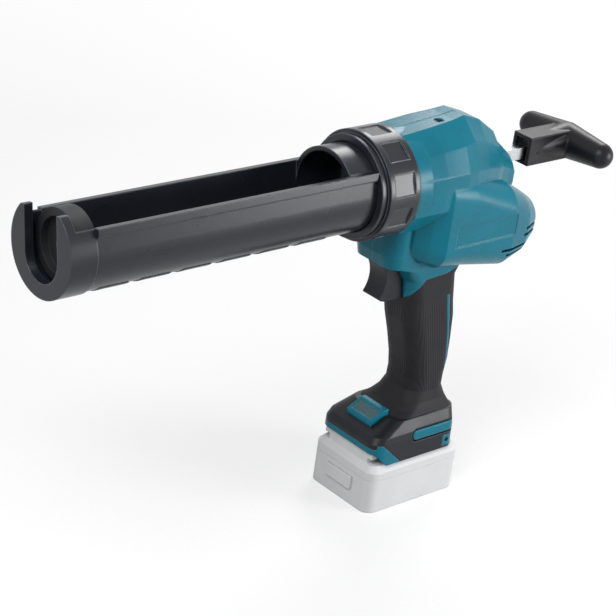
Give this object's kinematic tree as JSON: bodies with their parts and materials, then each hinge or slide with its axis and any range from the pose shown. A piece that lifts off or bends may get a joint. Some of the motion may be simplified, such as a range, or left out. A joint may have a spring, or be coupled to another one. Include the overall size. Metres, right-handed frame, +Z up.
{
  "type": "cordless caulking tool",
  "caption": "Pistol-grip cordless tool that pushes sealant out of a cartridge: an open trough holder, a rack-driven piston rod with a pull handle, a trigger and a slide-on battery pack.",
  "frame": {"origin": "centre of the battery pack's flat underside, which the tool stands on", "axes": "+X forward along the barrel towards the nozzle end, +Y to the tool's left, +Z up"},
  "size_m": [0.445, 0.082, 0.2732],
  "materials": {
    "teal_shell": "satin moulded",
    "teal_trim": "satin moulded",
    "grip_rubber": "matt ribbed",
    "dark_moulding": "fine texture",
    "holder_moulding": "satin moulded",
    "piston_moulding": "satin moulded",
    "handle_moulding": "satin moulded",
    "rod_steel": "ground",
    "gear_steel": "machined",
    "bronze_bush": "sintered",
    "cast_alloy": "die cast",
    "motor_can": "plated",
    "circuit": "potted",
    "contact_metal": "plated",
    "lens": "clear",
    "pack_moulding": "frosted",
    "cell_can": "sleeved"
  },
  "bodies": {
    "body": {"housing_left": "teal_shell", "housing_right": "teal_shell", "grip_overmould": "grip_rubber", "foot_housing": "dark_moulding", "foot_skirt": "teal_trim", "hook_nuts": "teal_trim", "hook_rails": "teal_trim", "light_housing": "teal_trim", "led_lens": "lens", "terminal_block": "dark_moulding", "terminal_blades": "contact_metal", "speed_controller": "circuit", "switch_body": "dark_moulding", "housing_screws": "gear_steel", "motor": "motor_can", "gearbox": "motor_can", "gear_head": "cast_alloy", "pinion_bushes": "bronze_bush", "rod_guide_front": "dark_moulding", "rod_guide_rear": "dark_moulding", "holder_spigot": "cast_alloy"},
    "ring": {"clamp_ring": "holder_moulding"},
    "holder": {"cartridge_holder": "holder_moulding", "nose_cap": "holder_moulding"},
    "rod": {"rack_rod": "rod_steel", "piston": "piston_moulding", "piston_screw": "gear_steel", "pull_handle": "handle_moulding", "handle_pin": "gear_steel"},
    "pinion": {"rack_pinion": "gear_steel", "pinion_shaft": "gear_steel"},
    "trigger": {"trigger": "dark_moulding"},
    "battery": {"battery_case": "pack_moulding", "battery_lid": "pack_moulding", "battery_cells": "cell_can", "battery_contacts": "contact_metal"},
    "button": {"battery_button": "pack_moulding"}
  },
  "joints": [
    {"name": "rod_slide", "type": "slide", "parent": "body", "child": "rod", "axis": [1, 0, 0], "range_m": [-0.205, 0]},
    {"name": "pinion_spin", "type": "hinge", "parent": "body", "child": "pinion", "pos_m": [0.006, 0, 0.22199], "axis": [0, 1, 0], "range_deg": [-1350, 10]},
    {"name": "ring_turn", "type": "hinge", "parent": "body", "child": "ring", "pos_m": [0.06, 0, 0.234], "axis": [1, 0, 0], "continuous": true},
    {"name": "holder_turn", "type": "hinge", "parent": "body", "child": "holder", "pos_m": [0.17, 0, 0.234], "axis": [1, 0, 0], "continuous": true},
    {"name": "trigger_pull", "type": "slide", "parent": "body", "child": "trigger", "axis": [-1, 0, 0], "range_m": [0, 0.007], "stiffness_N_per_m": 600},
    {"name": "battery_slide", "type": "slide", "parent": "body", "child": "battery", "axis": [1, 0, 0], "range_m": [0, 0.085]},
    {"name": "button_press", "type": "slide", "parent": "battery", "child": "button", "axis": [-1, 0, 0], "range_m": [0, 0.003], "stiffness_N_per_m": 500}
  ],
  "couplings": [
    {"joint": "pinion_spin", "follows": "rod_slide", "rad_per_m": 114.29}
  ]
}
